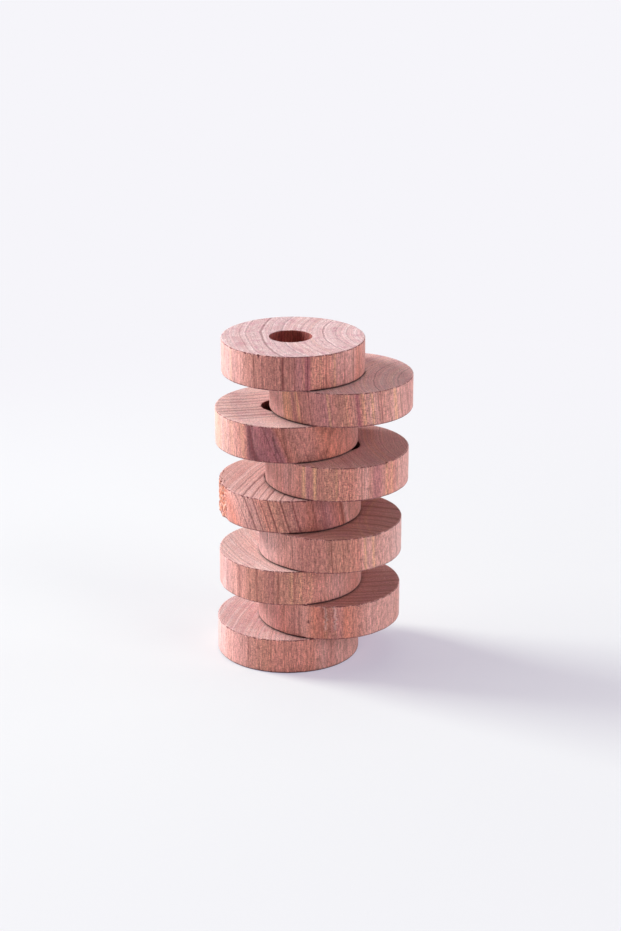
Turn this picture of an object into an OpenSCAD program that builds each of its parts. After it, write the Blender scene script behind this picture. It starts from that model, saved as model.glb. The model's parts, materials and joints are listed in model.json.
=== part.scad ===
// Stack of loose cedar rings, each bored through to slip over a clothes hanger's hook.
// Millimetres, +Z up. The origin is on the bottom ring's bore axis, level with its underside.
// Every ring is a slice of one turned and drilled dowel, so the flat faces are end grain.
// The rings lie by hand on top of each other, in turn to the left and to the right.

/* [Ring] */
// Outer diameter of every ring
ring_d = 45; // [36:0.5:60]
// Thickness that the saw was set to
ring_t = 11.2; // [8:0.1:18]
// Diameter of the bore through every ring
bore_d = 13; // [8:0.5:20]
// Radius sanded on the outer corners
rim_ease = 0.35; // [0.1:0.05:1.5]
// Bevel sanded at both mouths of the bore
mouth_ease = 0.25; // [0.1:0.05:1]

/* [Stack] */
// Sideways distance from the left column of rings to the right one
stagger = 14; // [0:0.5:18]
// How far each ring was set down off its column's line, bottom ring first
slip = [
    [0, 0], [-1, 0.2], [0.8, 0.7], [-0.7, -1.4], [0.6, 3.4], [1.4, 2.1], [-0.4, 6], [2.7, 5.5], [1.7, 7.4]
]; // [x, y], each within 8

/* [Sawing and drilling] */
// How much thicker or thinner than ring_t the saw left each ring, bottom ring first
saw_error = [0.1, 0.1, 0.2, 0.2, -0.4, -0.1, 0.5, -0.3, -0.1]; // each within 0.6
// How far each bore is off the centre of its ring, bottom ring first
drill_error = [
    [0, 0], [-0.5, 0.4], [0.3, 0.5], [-0.4, -0.6], [-1.2, 0.3], [0.5, 0], [-1.2, -0.2], [0.6, 0.3], [-0.7, 0]
]; // [x, y], each within 1.5

/* [Hidden] */
ring_count = len(slip);

ring_r = ring_d / 2;
bore_r = bore_d / 2;
// What a cutter stands out past the faces that it cuts
cut_past = 1;
$fn = 96;

// Salmon heartwood, in the few tones that the slices show, bottom ring first
cedar = [
    "#CB948E", "#C08780", "#D09A93", "#B98079", "#C78F86", "#C4897F", "#C98E85", "#C58C84", "#CC9490"
];

// Thickness of ring k
function thick(k) = ring_t + saw_error[k - 1];

// Height of the underside of ring k: all the rings below it, face to face
function underside(k) = k == 1 ? 0 : underside(k - 1) + thick(k - 1);

// Centre of ring k, even rings standing in the right column
function centre(k) = slip[k - 1] + [k % 2 == 0 ? stagger : 0, 0];

// Half section of the turned slice, with its two outer corners sanded round
module slice_section(t) {
    square([ring_r - rim_ease, t]);
    translate([0, rim_ease]) square([ring_r, t - 2 * rim_ease]);
    for (z = [rim_ease, t - rim_ease]) translate([ring_r - rim_ease, z]) circle(r = rim_ease);
}

module turned_slice(t) {
    rotate_extrude() intersection() {
        slice_section(t);
        square([ring_r, t]);
    }
}

// Half section of the bore with both bevelled mouths, as one cutter
module drilled_bore(t) {
    mouth_r = bore_r + mouth_ease + cut_past;
    rotate_extrude() polygon([
        [0, -cut_past], [mouth_r, -cut_past], [bore_r, mouth_ease],
        [bore_r, t - mouth_ease], [mouth_r, t + cut_past], [0, t + cut_past]
    ]);
}

// One loose ring, lying on the ring below it
module ring(k) {
    t = thick(k);
    off = drill_error[k - 1];
    color(cedar[k - 1]) translate([centre(k)[0], centre(k)[1], underside(k)]) difference() {
        turned_slice(t);
        translate([off[0], off[1], 0]) drilled_bore(t);
    }
}

for (k = [1 : ring_count]) ring(k);
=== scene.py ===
# %% [markdown]
# # A stack of cedar hanger rings
# Nine slices of turned Eastern red cedar, each with a hole through it, lie on each other.
# Their sizes and places come from a finished CAD part. This lesson only builds what the eye
# needs on top of that: worn sawn edges, cedar figure that runs through each slice, and a
# white studio table with a strong soft lamp behind the stack on the left.

# %% Load the CAD frame
import json
import math
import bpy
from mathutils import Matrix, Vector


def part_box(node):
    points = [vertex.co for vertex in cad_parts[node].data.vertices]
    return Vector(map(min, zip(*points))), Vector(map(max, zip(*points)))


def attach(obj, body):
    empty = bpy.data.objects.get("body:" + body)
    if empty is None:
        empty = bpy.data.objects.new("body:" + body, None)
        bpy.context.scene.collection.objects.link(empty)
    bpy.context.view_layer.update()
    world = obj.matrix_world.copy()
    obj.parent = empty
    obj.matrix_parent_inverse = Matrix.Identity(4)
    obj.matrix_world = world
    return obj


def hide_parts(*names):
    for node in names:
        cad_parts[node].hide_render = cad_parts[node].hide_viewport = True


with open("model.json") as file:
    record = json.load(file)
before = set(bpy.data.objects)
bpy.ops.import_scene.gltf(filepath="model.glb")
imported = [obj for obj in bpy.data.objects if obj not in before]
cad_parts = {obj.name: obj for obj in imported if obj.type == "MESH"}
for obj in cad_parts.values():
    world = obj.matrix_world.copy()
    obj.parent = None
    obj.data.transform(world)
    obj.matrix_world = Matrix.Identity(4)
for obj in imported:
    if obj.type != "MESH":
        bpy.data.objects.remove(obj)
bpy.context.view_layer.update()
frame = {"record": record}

from types import SimpleNamespace

import bpy
import numpy as np
from mathutils import Vector

MM = 0.001

# %% [markdown]
# ## Colours
# Colours are given as hex values, the way a painter notes them, and Blender wants linear
# light. One function turns the one into the other.
# Fresh cedar is salmon pink. Its growth layers shift to brown, mauve and plum, and now and
# then a streak of cream sapwood runs through. Eleven tones of heartwood are enough for all
# nine slices, and naming them keeps the recipes further down readable. The other names are
# for marks: sapwood, flecks, dark lines, oil stains and torn wood, and for painted light and
# shade: the pale of painted highlight on the tops, and the splinters' painted highlight and
# the painted shade in the hollows of the torn patch.


# %% Cedar tones
def linear(code):
    parts = [int(code[i : i + 2], 16) / 255 for i in (1, 3, 5)]
    return [c / 12.92 if c <= 0.04045 else ((c + 0.055) / 1.055) ** 2.4 for c in parts] + [1.0]


TONES = {
    "blush": "#E0B3AE",
    "rose": "#DAA49C",
    "salmon": "#D69386",
    "coral": "#D38A78",
    "shell": "#D0968C",
    "tan": "#CB8F80",
    "brown": "#C1847B",
    "russet": "#B77569",
    "mauve": "#BE8181",
    "plum": "#AE6C70",
    "umber": "#A0656A",
    "cream": "#E8B68E",
    "fleck": "#E6AE94",
    "bark": "#D48C6C",
    "line": "#6A2E30",
    "chalk": "#F2DEDC",
    "magenta": "#BE7488",
    "splinter": "#EBB9A4",
    "rust": "#B25A40",
    "lilac": "#D9B4B4",
}
print("tones:", ", ".join(TONES))

# %% [markdown]
# ## How each slice was cut
# Wood is laid down in layers round the pith, the centre line of the tree. A slice that is
# cut far from the pith shows nearly straight lines on its top, and one cut close to it
# shows round arcs. The same layers come out on the rim as upright streaks.
# So each slice needs the place of the pith, in mm from its own centre (x to the right, y
# away from the camera). A position along the rim is an angle: 0 faces the camera, positive
# is to the right. Each entry is drawn on the rim at that angle and followed into the wood.
# Where lines never reach the rim in front, a point on the top, in mm, stands for the angle.
#
# - "drift" says how far the layers lean, in mm for each mm down, and "fan" how that changes
#   with the distance from the pith.
# - "bands" is the centre of the colour bands where they don't follow the growth layers,
#   "band_drift" their lean, and "lean" two angles with a lean at each.
# - "tones" are an angle and a colour. On the right front of slices 9, 8, 6, 4 and 2 they are
#   lighter than the wood, as painted light. "lines", "streaks" and "cream" are an angle, a
#   width in mm and a strength: dark growth lines, dark lines on the rim alone, and sapwood.
#   "flecks" are two angles and how thick the ray flecks lie between them.
# - "top" is the colour of the sawn end grain, with painted light and shade in it: lighter
#   on the lit tops of slices 7, 5, 3 and 1, darker on the tops of slices 6, 4 and 2, which
#   lie in the shade of the slice above. "rich" is its saturation, raised on those shaded tops
#   as painted shade. Next comes how much of the top is pale with painted highlight, and
#   "stain", how much is rosy with oil.
# - "rim_lines" and "top_lines" are how strongly the lines show on each, and "hair" how much
#   of the finest lines is left on the top.
# - "squiggles" are the angles of pale squiggles. "seed" moves the broad patterns and turns
#   the saw's ridges, so that no two slices look alike.

# %% An empty book of recipes
CUTS = {}
print("recipes so far:", len(CUTS))

# %% [markdown]
# ### Slice 9, on top
# The pith was 42 mm to the right, so the lines are arcs that open to the right. The top is
# pale, with ribbons of painted highlight and rosy stains, and a plum band comes out in front.

# %% Slice 9, on top
CUTS[9] = dict(
    pith=(42, 4), drift=0.0, top="#D7BABB", seed=9.3,
    top_lines=0.8, rim_lines=1.0, hair=0.5, stain=0.6, bloom=0.5,
    tones=[(-90, "rose"), (-73, "rose"), (-62, "blush"), (-50, "rose"), (-40, "shell"), (-31, "tan"),
           (-25, "brown"), (-8, "brown"), (-2, "brown"), (5, "mauve"), (8, "brown"),
           (9.5, "plum"), (12.5, "plum"), (14, "salmon"), (30, "salmon"), (36, "rose"),
           (55, "rose"), (62, "salmon"), (90, "rose")],
    lines=[(-55, 0.5, 0.35), (-31, 0.35, 0.5), (-7, 0.6, 0.9), (1, 0.35, 0.55), (11, 0.5, 0.6),
           (27, 0.35, 0.6), (36.5, 0.3, 0.5), (45, 0.35, 0.7), (56, 0.35, 0.7), (66, 0.3, 0.5)],
    cream=[(-58, 0.5, 0.5), (22, 0.5, 0.3), (34.5, 0.6, 0.9)],
    flecks=[(-30, -8, 0.5), (-3, 11, 0.3), (13, 28, 1.0), (29, 44, 0.6)],
)
print("slice 9:", len(CUTS[9]["tones"]), "tones,", len(CUTS[9]["lines"]), "lines")

# %% [markdown]
# ### Slice 8
# Six streaks of sapwood and one broad one on the left make this the most striped rim. The
# layers lean a little.

# %% Slice 8
CUTS[8] = dict(
    pith=(38, -9), drift=-0.11, top="#E1B6B2", seed=8.1,
    top_lines=0.8, rim_lines=0.8, hair=0.15, stain=0.4, bloom=0.25, rich=1.05,
    tones=[(-90, "rose"), (-57, "rose"), (-55, "tan"), (-47, "tan"), (-44.5, "mauve"), (-42, "tan"),
           (-39, "salmon"), (-35, "brown"), (-13, "mauve"), (-8, "brown"), (0, "tan"),
           (5, "salmon"), (9, "shell"), (11, "plum"), (12.5, "plum"), (14, "salmon"), (20, "rose"),
           (26, "rose"), (30, "shell"), (43, "rose"), (50, "rose"), (90, "rose")],
    lines=[(-44, 0.3, 0.4), (-38, 0.35, 0.7), (-28, 0.3, 0.7), (11.5, 0.3, 0.6), (31, 0.35, 0.8),
           (52, 0.25, 0.4), (70, 0.3, 0.5)],
    cream=[(-50.5, 3.0, 0.55), (-40.5, 0.8, 0.9), (-12, 0.8, 0.7), (3, 0.5, 0.4),
           (16, 0.8, 0.8), (23, 0.9, 0.8), (45.5, 1.2, 0.9)],
    flecks=[(-35, -13, 0.35), (0, 9, 0.8), (14, 25, 1.0), (32, 43, 0.8), (50, 66, 0.4)],
)
print("slice 8:", len(CUTS[8]["tones"]), "tones,", len(CUTS[8]["lines"]), "lines")

# %% [markdown]
# ### Slice 7
# A dark band slants down the left of the rim. The lines on the top are straight and close,
# and come from another centre than the band, so they are given as points.

# %% Slice 7
CUTS[7] = dict(
    pith=(-27, 75), drift=0.064, bands=(60, 12), lean=((-31, -0.02), (-14, -0.33)),
    # the top colour is lighter than the wood: painted light on this lit top
    top="#EEC6BC", seed=7.7,
    top_lines=0.9, rim_lines=0.35, hair=0.3, stain=0.35, bloom=0.3,
    tones=[(-90, "blush"), (-60, "blush"), (-50, "rose"), (-33, "salmon"), (-31, "umber"),
           (-27, "umber"), (-22, "plum"), (-17, "umber"), (-13, "umber"), (-8, "russet"),
           (4, "brown"), (14, "brown"), (30, "coral"), (52, "salmon"), (90, "rose")],
    lines=[((-14, 12), 1.0, 0.4), ((-14, 9.5), 1.0, 0.5), ((-14, 6), 1.2, 0.6), ((-14, 3), 1.1, 0.6),
           ((-14, 0.5), 0.9, 0.5), ((-14, -3), 1.1, 0.7), ((-14, -5.5), 1.2, 0.8),
           ((-14, -8), 0.9, 0.6), ((-14, -11), 1.2, 0.7), ((-14, -13.5), 0.8, 0.6),
           ((-10, -17), 1.0, 0.6), ((-6, -19.5), 0.8, 0.5)],
    streaks=[(-29.5, 0.6, 0.9), (-18.5, 0.3, 0.6), (-14.5, 0.3, 0.7), (-8.5, 0.3, 0.6),
             (8, 0.3, 0.5)],
    cream=[(-76, 1.2, 0.5), (-66, 0.6, 0.5), (-56, 0.5, 0.4), (-47, 0.6, 0.4), (-36, 0.6, 0.4)],
    flecks=[(-60, -30, 0.25), (-12, 60, 0.4)],
)
print("slice 7:", len(CUTS[7]["tones"]), "tones,", len(CUTS[7]["lines"]), "lines")

# %% [markdown]
# ### Slice 6
# Nearly straight layers run away from the camera, with thin streaks of sapwood and dense
# flecks in front.

# %% Slice 6
CUTS[6] = dict(
    # the top colour is darker and "rich" higher than the wood: painted shade from the slice above
    pith=(70, 10), drift=0.0, top="#CFA09A", seed=6.2,
    top_lines=0.5, rim_lines=0.8, hair=0.1, stain=0.25, bloom=0.1, rich=1.1,
    tones=[(-90, "rose"), (-50, "shell"), (-46, "rose"), (-30, "salmon"), (-26, "mauve"),
           (-21, "brown"), (-14, "tan"), (-3, "tan"), (0, "salmon"), (12, "salmon"),
           (24, "rose"), (27, "shell"), (31, "mauve"), (35, "mauve"), (39, "shell"), (43, "salmon"),
           (50, "salmon"), (56, "rose"), (90, "rose")],
    lines=[(-41, 0.3, 0.7), (-15, 0.3, 0.7), (12, 0.25, 0.6), (20, 0.3, 0.7), (27, 0.2, 0.4),
           (33, 0.3, 0.4), (52, 0.25, 0.4), (62, 0.25, 0.3)],
    cream=[(-27, 0.7, 1.0), (-18.5, 0.8, 1.0), (-1, 0.5, 0.8), (42, 0.7, 0.7),
           (47.5, 1.2, 0.6), (57.5, 0.35, 0.6)],
    flecks=[(-26, -16, 0.4), (-14, 15, 1.0), (40, 51, 0.5)],
)
print("slice 6:", len(CUTS[6]["tones"]), "tones,", len(CUTS[6]["lines"]), "lines")

# %% [markdown]
# ### Slice 5, with slanted grain
# This one was cut askew: the layers lean by 0.4 mm for each mm down, and more to the left.
# Its lines are the darkest of all the rims.

# %% Slice 5, with slanted grain
CUTS[5] = dict(
    # the top colour is lighter than the wood: painted light on this lit top
    pith=(139.5, -55.5), drift=-0.38, fan=-0.0145, top="#E0AFA5", seed=5.9,
    top_lines=1.0, rim_lines=1.0, hair=0.6, stain=0.2, bloom=0.3,
    tones=[(-90, "salmon"), (-66, "coral"), (-61, "salmon"), (-50, "rose"), (-34, "rose"),
           (-26, "salmon"), (-12, "tan"), (0, "brown"), (14, "russet"), (30, "mauve"),
           (44, "coral"), (60, "salmon"), (90, "rose")],
    lines=[(-62, 0.5, 0.6), (-54, 0.6, 0.95), (-49, 0.4, 0.6), (-39.5, 0.55, 0.95), (-31.5, 0.5, 0.9),
           (-24.5, 0.4, 0.6), (-17.5, 0.6, 1.0), (-7, 0.5, 0.9), (1.5, 0.5, 0.85), (17, 0.4, 0.6),
           (25.5, 0.4, 0.7), (43.5, 0.45, 0.8)],
    flecks=[(-55, 0, 0.7), (20, 50, 0.3)],
)
print("slice 5:", len(CUTS[5]["tones"]), "tones,", len(CUTS[5]["lines"]), "lines")

# %% [markdown]
# ### Slice 4
# The pith was near, just in front, so the lines on the top are arches. The rim keeps
# bands of its own.

# %% Slice 4
CUTS[4] = dict(
    # the top colour is darker and "rich" higher than the wood: painted shade from the slice above
    pith=(4, -36), drift=0.02, bands=(64, -6), band_drift=-0.05, top="#BA8479", seed=4.4,
    top_lines=0.9, rim_lines=0.35, hair=0.5, stain=0.2, bloom=0.05, rich=1.1,
    tones=[(-90, "blush"), (-60, "blush"), (-40, "shell"), (-33, "shell"), (-24, "brown"),
           (-16, "brown"), (4, "tan"), (14, "tan"), (21, "salmon"), (28, "rose"), (34, "rose"),
           (40, "rose"), (90, "blush")],
    lines=[((15, 11), 0.9, 0.5), ((15, 6), 1.2, 0.7), ((15, 2.5), 0.8, 0.4), ((15, -2), 1.2, 0.7),
           ((15, -6), 0.9, 0.5), ((15, -10), 1.1, 0.6), ((8, -13), 0.9, 0.5), ((0, -15), 0.8, 0.6),
           ((0, -18), 0.7, 0.5), ((0, -20.5), 0.5, 0.4)],
    streaks=[(-60, 0.3, 0.5), (-33, 0.35, 0.7), (-24, 0.3, 0.5), (0.5, 0.35, 0.8), (4, 0.25, 0.4),
             (9.5, 0.3, 0.7), (17, 0.3, 0.5), (64, 0.3, 0.4)],
    cream=[(27, 0.8, 0.9), (34.5, 1.1, 0.9)],
    flecks=[(-26, 2, 0.5), (18, 25, 0.6), (32, 60, 0.8)],
)
print("slice 4:", len(CUTS[4]["tones"]), "tones,", len(CUTS[4]["lines"]), "lines")

# %% [markdown]
# ### Slice 3
# Straight lines run across the top at a slant and come out as evenly spaced streaks.
# Flecks crowd the front.

# %% Slice 3
CUTS[3] = dict(
    # the top colour is lighter than the wood: painted light on this lit top
    pith=(72, 34), drift=0.0, top="#EAC4BC", seed=3.6,
    top_lines=0.4, rim_lines=0.7, hair=0.3, stain=0.25, bloom=0.45,
    tones=[(-65, "blush"), (-58, "blush"), (-52, "rose"), (-42, "shell"), (-33, "tan"), (-26, "tan"),
           (-14, "brown"), (-9, "tan"), (0, "tan"), (20, "salmon"), (40, "rose"), (64, "salmon"),
           (90, "rose")],
    lines=[(-54, 0.35, 0.6), (-43, 0.3, 0.5), (-26, 0.4, 0.9), (-13, 0.25, 0.6), (-9, 0.4, 0.9),
           (3.5, 0.4, 0.9), (13, 0.3, 0.7), (28, 0.3, 0.6), (35, 0.25, 0.4), (43.5, 0.3, 0.8)],
    cream=[(1, 0.5, 0.6), (8, 0.8, 0.35), (16.5, 0.8, 0.35)],
    flecks=[(-25, -10, 0.4), (-2, 21, 0.9)],
)
print("slice 3:", len(CUTS[3]["tones"]), "tones,", len(CUTS[3]["lines"]), "lines")

# %% [markdown]
# ### Slice 2
# The lines on the top run from left to right, and so hardly reach the rim in front. Two
# pale squiggles hang there instead.

# %% Slice 2
CUTS[2] = dict(
    # the top colour is darker and "rich" higher than the wood: painted shade from the slice above
    pith=(2, 95), drift=0.0, bands=(66, 4), top="#BB857C", seed=2.8,
    top_lines=0.8, rim_lines=0.2, hair=0.5, stain=0.2, bloom=0.05, rich=1.1,
    tones=[(-90, "rose"), (-60, "rose"), (-40, "salmon"), (-20, "shell"), (-12, "coral"),
           (-8, "russet"), (-4, "coral"), (5, "brown"), (9, "brown"), (13, "coral"), (22, "salmon"),
           (34, "rose"), (62, "rose"), (71, "shell"), (76, "rose"), (90, "blush")],
    lines=[((15, 10), 0.9, 0.4), ((15, 5.5), 1.1, 0.5), ((15, 2), 0.9, 0.4), ((15, -2), 1.1, 0.5),
           ((15, -6), 0.9, 0.5), ((15, -10), 1.0, 0.4), ((8, -13), 0.8, 0.4), ((4, -15.5), 0.8, 0.5),
           ((2, -18), 0.7, 0.5), ((0, -20.3), 0.5, 0.5)],
    streaks=[(-29, 0.25, 0.5), (-25, 0.3, 0.6), (-6, 0.3, 0.6), (31, 0.2, 0.5)],
    cream=[(-3, 0.4, 0.4), (4.5, 0.4, 0.4)],
    flecks=[(-5, 7, 0.5), (60, 76, 0.4)], squiggles=[-3.0, 4.5],
)
print("slice 2:", len(CUTS[2]["tones"]), "tones,", len(CUTS[2]["lines"]), "lines")

# %% [markdown]
# ### Slice 1, at the bottom
# The plainest of the nine: thin lines, no sapwood and broad, calm tones.

# %% Slice 1, at the bottom
CUTS[1] = dict(
    # the top colour is lighter than the wood: painted light on this lit top
    pith=(95, -32), drift=0.0, top="#D9A9A3", seed=1.5,
    top_lines=0.5, rim_lines=0.7, hair=0.4, stain=0.35, bloom=0.4,
    tones=[(-90, "blush"), (-66, "blush"), (-56, "rose"), (-45, "rose"), (-33, "shell"),
           (-20, "tan"), (-10, "salmon"), (20, "salmon"), (30, "rose"), (35, "shell"), (39, "shell"),
           (42, "rose"), (70, "rose")],
    lines=[(-53, 0.25, 0.4), (-45, 0.25, 0.4), (-40, 0.3, 0.4), (-33, 0.3, 0.7), (-3, 0.25, 0.6),
           (3, 0.25, 0.6), (15, 0.25, 0.5), (21, 0.25, 0.5), (28, 0.25, 0.5), (52, 0.25, 0.4)],
    flecks=[(-34, -10, 0.7), (-8, 26, 0.4)],
)
print("slice 1:", len(CUTS[1]["tones"]), "tones,", len(CUTS[1]["lines"]), "lines")

# %% [markdown]
# ## Sizes of the slices
# The CAD says where every slice is. Each one is measured here from its own box, and its
# hole from the record, so the looks follow if the CAD ever changes.


# %% Measure the CAD slices
def measure(k):
    low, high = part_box(f"ring_{k}")
    hole = next(m for m in frame["record"]["mounts"] if m["name"] == f"ring_{k}_bore")
    centre = (low + high) / 2
    return {
        "at": Vector((centre.x, centre.y, high.z)),
        "radius": (high.x - low.x) / 2 / MM,
        "thick": (high.z - low.z) / MM,
        "hole": (hole["pos_m"][0] / MM - centre.x / MM, hole["pos_m"][1] / MM - centre.y / MM),
        "hole_radius": hole["dims"]["r_mm"],
    }


SIZES = {k: measure(k) for k in CUTS}
print({k: (round(s["radius"], 2), round(s["thick"], 2)) for k, s in SIZES.items()})

# %% [markdown]
# ## Roughness made from numbers
# A real sawn edge isn't a clean line: fibres tear out of it in small nicks. Noise on a mesh
# has to be the same on every run, so it comes from a hash of whole numbers, blended
# smoothly in between. "size" is how large one lump is in mm, along x, y and z. The large
# odd numbers and the shifts of the hash only stir the bits.

# %% Value noise
STIR_X, STIR_Y, STIR_Z, STIR_SEED = 374761393, 668265263, 1274126177, 974711
STIR_AGAIN = 1103515245
BITS_32 = 0xFFFFFFFF
BITS_16 = 0xFFFF


def hashed(ix, iy, iz, seed):
    h = (ix * STIR_X + iy * STIR_Y + iz * STIR_Z + seed * STIR_SEED) & BITS_32
    h = ((h ^ (h >> 13)) * STIR_AGAIN) & BITS_32
    h = ((h ^ (h >> 15)) * STIR_Y) & BITS_32
    return ((h ^ (h >> 16)) & BITS_16) / BITS_16


def lumps(points, size, seed):
    q = points / np.array(size, float)
    cell = np.floor(q).astype(np.int64)
    t = q - cell
    t = t * t * (3 - 2 * t)
    total = np.zeros(points.shape[:-1])
    for corner in np.ndindex(2, 2, 2):
        weight = np.ones(points.shape[:-1])
        for axis in range(3):
            weight = weight * (t[..., axis] if corner[axis] else 1 - t[..., axis])
        total += weight * hashed(*(cell[..., axis] + corner[axis] for axis in range(3)), seed)
    return total


print("noise from 0 to 1, for example:", lumps(np.array([[0.3, 0.2, 0.1]]), (1, 1, 1), 1).round(3))

# %% [markdown]
# ## Nicks, tears and pin holes
# Some flaws have their own place: a torn patch on slice 5 where the lathe met rising
# fibres, a pin hole in slice 2, and short splits. Nicked stretches of the arris, the upper
# outer corner, are given as start angle, end angle and strength. A gouge is its angle, its
# distance from the top, its half width, half height and depth, the last four in mm. The
# torn patch is its start angle, end angle and greatest depth in mm.

# %% Flaws of each slice
NICKS = {
    9: [(-66, -8, 1.0), (20, 60, 0.3)],
    8: [(10, 75, 0.3)],
    7: [(-75, -20, 0.6), (-20, 20, 0.4)],
    6: [(-20, 45, 0.4)],
    5: [(-95, -20, 1.0), (-20, 20, 0.6)],
    4: [(-60, 0, 0.4), (20, 50, 0.4)],
    3: [(-50, 0, 0.7)],
    2: [(0, 60, 0.6)],
    1: [(-60, -10, 0.5), (0, 14, 0.9)],
}
GOUGES = {
    9: [(-31, 3.0, 0.1, 2.0, 0.2)],
    8: [(12, 8.5, 0.12, 1.6, 0.2), (9.5, 5.0, 0.1, 1.0, 0.15)],
    7: [(36, 2.5, 0.12, 1.0, 0.25), (9, 5.0, 0.1, 1.8, 0.2), (-13, 5.5, 0.1, 2.2, 0.2)],
    6: [(42, 0.8, 0.15, 0.7, 0.25), (20, 6.0, 0.1, 2.0, 0.15)],
    5: [(-17, 1.2, 0.15, 0.6, 0.3), (1.5, 1.0, 0.15, 0.6, 0.3), (26, 6.5, 0.15, 0.5, 0.3)],
    4: [(42, 1.5, 0.12, 1.3, 0.3), (64, 1.2, 0.12, 1.0, 0.3), (22, 3.5, 0.1, 1.2, 0.2)],
    3: [(3.5, 5.0, 0.1, 3.0, 0.2), (-9, 5.0, 0.1, 3.0, 0.2)],
    2: [(-17, 5.6, 0.25, 0.3, 0.5), (24, 0.6, 0.2, 0.2, 0.3), (27, 0.7, 0.2, 0.2, 0.3)],
    1: [(16, 10.2, 0.2, 0.5, 0.3), (-33, 4.0, 0.1, 1.6, 0.15)],
}
TORN = {5: (-110, -60, 0.9)}
print(sum(len(g) for g in GOUGES.values()), "gouges,", len(TORN), "torn patch")

# %% [markdown]
# ## The mesh of a slice
# A cylinder primitive would have knife edges and a perfect surface. Here the outline of a
# cut through the slice is walked as one closed loop: across the top, over the sanded
# corner, down the rim, back under the bottom and up the hole. Every step of that walk is
# one circle of points, and bridging the circles gives a closed skin of quads.
# Points only ever move into the wood, because tools take material away. Tops and
# undersides stay flat where slices touch.

# %% Circles of points
AROUND = 600
NOMINAL_RADIUS = 22.5  # mm, where the noise that shapes the rims is looked up
angles = np.arange(AROUND) * 2 * math.pi / AROUND
outward = np.stack([np.sin(angles), -np.cos(angles)], -1)
degrees = np.degrees((angles + math.pi) % (2 * math.pi) - math.pi)


def circle(radius):
    return np.concatenate([outward * radius, np.zeros((AROUND, 1))], -1)


def stretch(lo, hi, soft=3.0):
    rise = np.clip((degrees - lo) / soft + 0.5, 0, 1)
    fall = np.clip((hi - degrees) / soft + 0.5, 0, 1)
    return rise * fall


print("points round a slice:", AROUND, "one each", round(2 * math.pi * NOMINAL_RADIUS / AROUND, 2), "mm")

# %% [markdown]
# ## Worn edges
# The arris of a slice was sanded lightly. It is rounded by some 0.4 mm, more in one place
# and less in another, and bitten where the saw tore it. The lower arris is rounder and
# hardly bitten.

# %% How far each corner is worn
SANDED = 0.26  # mm, the least that the sanding took
UNEVEN = 0.16  # mm more in lumps 4 mm long
FRAYED = 0.08  # mm more in lumps 0.9 mm long
BITE_FROM = 0.55  # noise above this bites into the arris
BITE_DEPTH = 2.2  # mm for each 1.0 of noise above it
LOW_ROUNDER = 0.18  # mm more at the lower arris
LOW_NICKED = 0.1  # share of the upper arris's bites


def worn_edge(k, seed, nicked=1.0):
    spots = circle(NOMINAL_RADIUS)
    wear = SANDED + UNEVEN * lumps(spots, (4, 4, 1), seed) + FRAYED * lumps(spots, (0.9, 0.9, 1), seed + 1)
    bites = np.clip(lumps(spots, (0.8, 0.8, 1), seed + 2) - BITE_FROM, 0, 1) * BITE_DEPTH
    for lo, hi, strength in NICKS[k]:
        wear = wear + nicked * strength * stretch(lo, hi) * bites
    return wear


print("slice 9's arris is worn", worn_edge(9, 90).round(2)[:6], "mm and so on")

# %% Walk the outline of one slice
ACROSS_TOP = 36  # circles on each stretch of the walk
OVER_ARRIS = 7
DOWN_RIM = 40
UNDER_ARRIS = 6
ACROSS_UNDERSIDE = 7
UP_HOLE = 27
MOUTH = 0.22  # mm bevelled at the mouths of the hole
MOUTH_UNEVEN = 0.08  # mm more in lumps 1 mm long
MOUTH_RADIUS = 9  # mm, where the mouth's noise is looked up


def slice_rows(k):
    size = SIZES[k]
    radius, thick, hole_radius = size["radius"], size["thick"], size["hole_radius"]
    middle = np.array(size["hole"])
    top_wear = worn_edge(k, 10 * k)
    low_wear = worn_edge(k, 10 * k + 5, LOW_NICKED) + LOW_ROUNDER
    mouth = MOUTH + MOUTH_UNEVEN * lumps(circle(MOUTH_RADIUS), (1, 1, 1), k)
    inner = middle + outward * (hole_radius + mouth[:, None])
    rows = []

    def row(flat, z, kind):
        rows.append((np.concatenate([flat, np.broadcast_to(z, (AROUND,))[:, None]], -1), kind))

    for u in np.linspace(0, 1, ACROSS_TOP + 1)[:-1]:
        row(inner + (outward * (radius - top_wear[:, None]) - inner) * u, 0.0, "top")
    for turn in np.linspace(0, math.pi / 2, OVER_ARRIS):
        reached = radius - top_wear * (1 - math.sin(turn))
        row(outward * reached[:, None], -top_wear * (1 - math.cos(turn)), "edge")
    for u in np.linspace(0, 1, DOWN_RIM + 2)[1:-1]:
        row(outward * radius, -(top_wear + (thick - top_wear - low_wear) * u), "rim")
    for turn in np.linspace(0, math.pi / 2, UNDER_ARRIS):
        reached = radius - low_wear * (1 - math.cos(turn))
        row(outward * reached[:, None], -thick + low_wear * (1 - math.sin(turn)), "edge")
    for u in np.linspace(0, 1, ACROSS_UNDERSIDE + 2)[1:-1]:
        row(outward * (radius - low_wear[:, None]) * (1 - u) + inner * u, -thick, "under")
    row(inner, -thick, "under")
    for u in np.linspace(0, 1, UP_HOLE):
        row(middle + outward * hole_radius, -thick + mouth + (thick - 2 * mouth) * u, "hole")
    return rows


print("rows in the walk:", len(slice_rows(9)))

# %% [markdown]
# ## Tool marks
# The saw left shallow ridges across the top, 1.3 mm apart, and pulled out pits. The lathe
# and the fibres left the rim a few hundredths of a mm uneven. The drill cut a spiral of
# ridges 0.9 mm apart into the wall of the hole.

# %% Marks on the sawn top
SAW_PITCH = 1.3
SAW_DEPTH = 0.02
ROUGH_DEPTH = 0.03
PIT_FROM = 0.7
PIT_DEPTH = 0.25


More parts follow.
